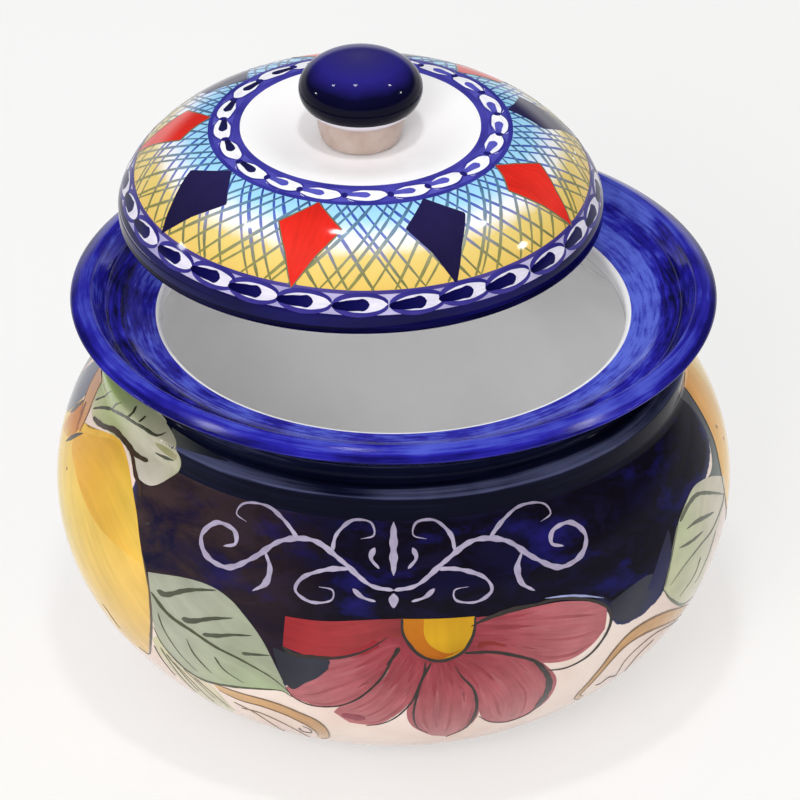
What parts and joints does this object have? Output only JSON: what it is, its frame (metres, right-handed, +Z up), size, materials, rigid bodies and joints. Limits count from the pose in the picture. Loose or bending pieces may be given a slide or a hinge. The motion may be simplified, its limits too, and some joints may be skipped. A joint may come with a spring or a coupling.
{
  "type": "biscuit jar",
  "caption": "Round glazed earthenware biscuit jar with a flared dished rim, and a loose domed lid with a locating flange and a round knob.",
  "frame": {"origin": "centre of the foot, on the surface that the jar stands on", "axes": "+Z up along the jar's own axis; -Y is the front, with the half daisy below the scrollwork; the lid is lifted up, back and to the left of its seat"},
  "size_m": [0.2319, 0.232, 0.2259],
  "materials": {
    "jar_glaze": "hand-painted cobalt, navy and cream under clear gloss glaze",
    "lid_glaze": "hand-painted lattice on white under clear gloss glaze",
    "knob_glaze": "deep cobalt gloss glaze over a white stem"
  },
  "bodies": {
    "jar": {"jar_body": "jar_glaze"},
    "lid": {"lid": "lid_glaze", "lid_knob": "knob_glaze"}
  },
  "joints": [
    {"name": "lid_lift", "type": "slide", "parent": "jar", "child": "lid", "axis": [-0.3152, 0.4585, 0.8309], "range_m": [-0.0348, 0.12]}
  ]
}
